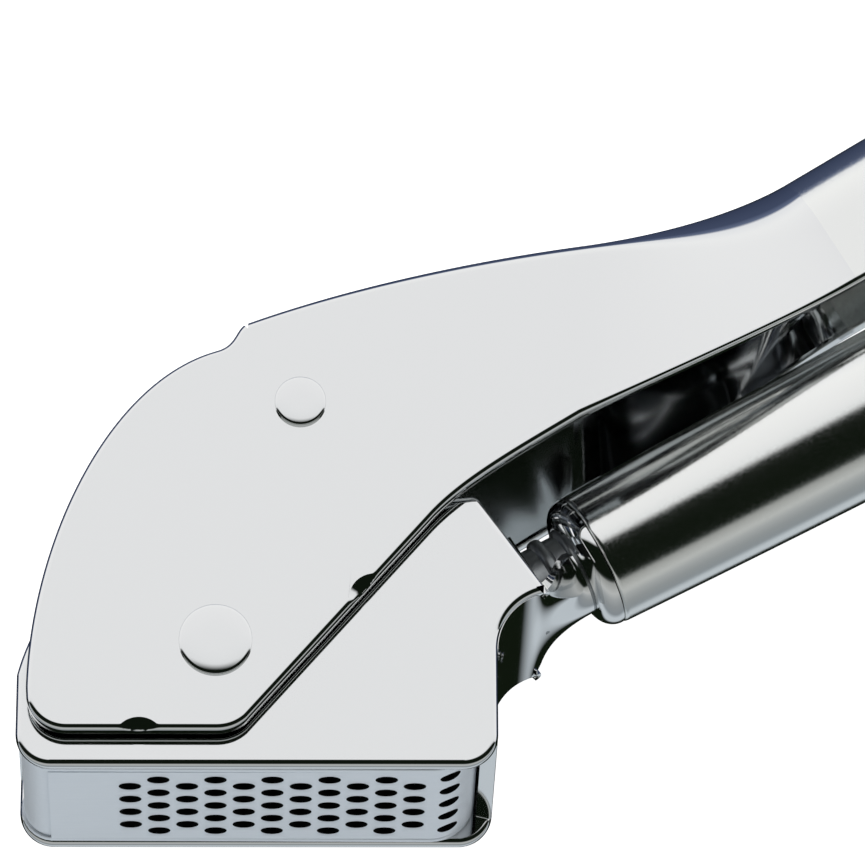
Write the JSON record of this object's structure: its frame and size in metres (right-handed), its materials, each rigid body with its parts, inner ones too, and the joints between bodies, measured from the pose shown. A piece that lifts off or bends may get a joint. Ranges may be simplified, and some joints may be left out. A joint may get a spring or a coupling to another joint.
{
  "type": "garlic press",
  "caption": "Hand garlic press: channel-shaped lever with a hinged plunger, body with a fold-out perforated sieve, two round tube handles and a hanging eye.",
  "frame": {"origin": "where the fulcrum's axis meets the plane that the press lies on, at the middle of the lower fulcrum rivet's flat head", "axes": "+X along the sieve towards the handles, +Y from the sieve up to the lever, +Z along the fulcrum's axis, up from the resting plane"},
  "size_m": [0.1783, 0.1118, 0.0394],
  "materials": {
    "polished_steel": "mirror-polished stainless steel",
    "satin_steel": "satin-blasted stainless steel tube",
    "cast_steel": "cast stainless steel, tumbled",
    "plain_steel": "turned stainless steel",
    "sieve_steel": "satin perforated stainless sheet"
  },
  "bodies": {
    "press_body": {"body_shell": "polished_steel", "neck_web": "polished_steel", "neck_block": "cast_steel", "tube_collar": "polished_steel", "lower_handle_tube": "satin_steel", "lower_end_plug": "polished_steel", "fulcrum_rivets": "polished_steel", "fulcrum_washers": "plain_steel", "sieve_hinge_pin": "plain_steel"},
    "lever": {"lever_head": "polished_steel", "lever_neck": "polished_steel", "upper_handle_tube": "satin_steel", "upper_end_plug": "polished_steel", "plunger_pin": "polished_steel", "pin_spacers": "plain_steel"},
    "plunger": {"plunger_bracket": "cast_steel", "plunger_shoe": "cast_steel", "shoe_rivets": "plain_steel"},
    "sieve_insert": {"sieve_plate": "sieve_steel", "sieve_rails": "sieve_steel", "sieve_latch_lip": "sieve_steel"}
  },
  "joints": [
    {"name": "lever_hinge", "type": "hinge", "parent": "press_body", "child": "lever", "pos_m": [0, 0, 0.0197], "axis": [0, 0, 1], "range_deg": [0, 85]},
    {"name": "plunger_hinge", "type": "hinge", "parent": "lever", "child": "plunger", "pos_m": [0.0097, 0.0289, 0.0197], "axis": [0, 0, 1], "range_deg": [-9, 0]},
    {"name": "sieve_hinge", "type": "hinge", "parent": "press_body", "child": "sieve_insert", "pos_m": [-0.0188, -0.01, 0.0197], "axis": [0, 0, -1], "range_deg": [0, 110]}
  ],
  "couplings": [
    {"joint": "plunger_hinge", "follows": "lever_hinge", "ratio": -0.1}
  ]
}
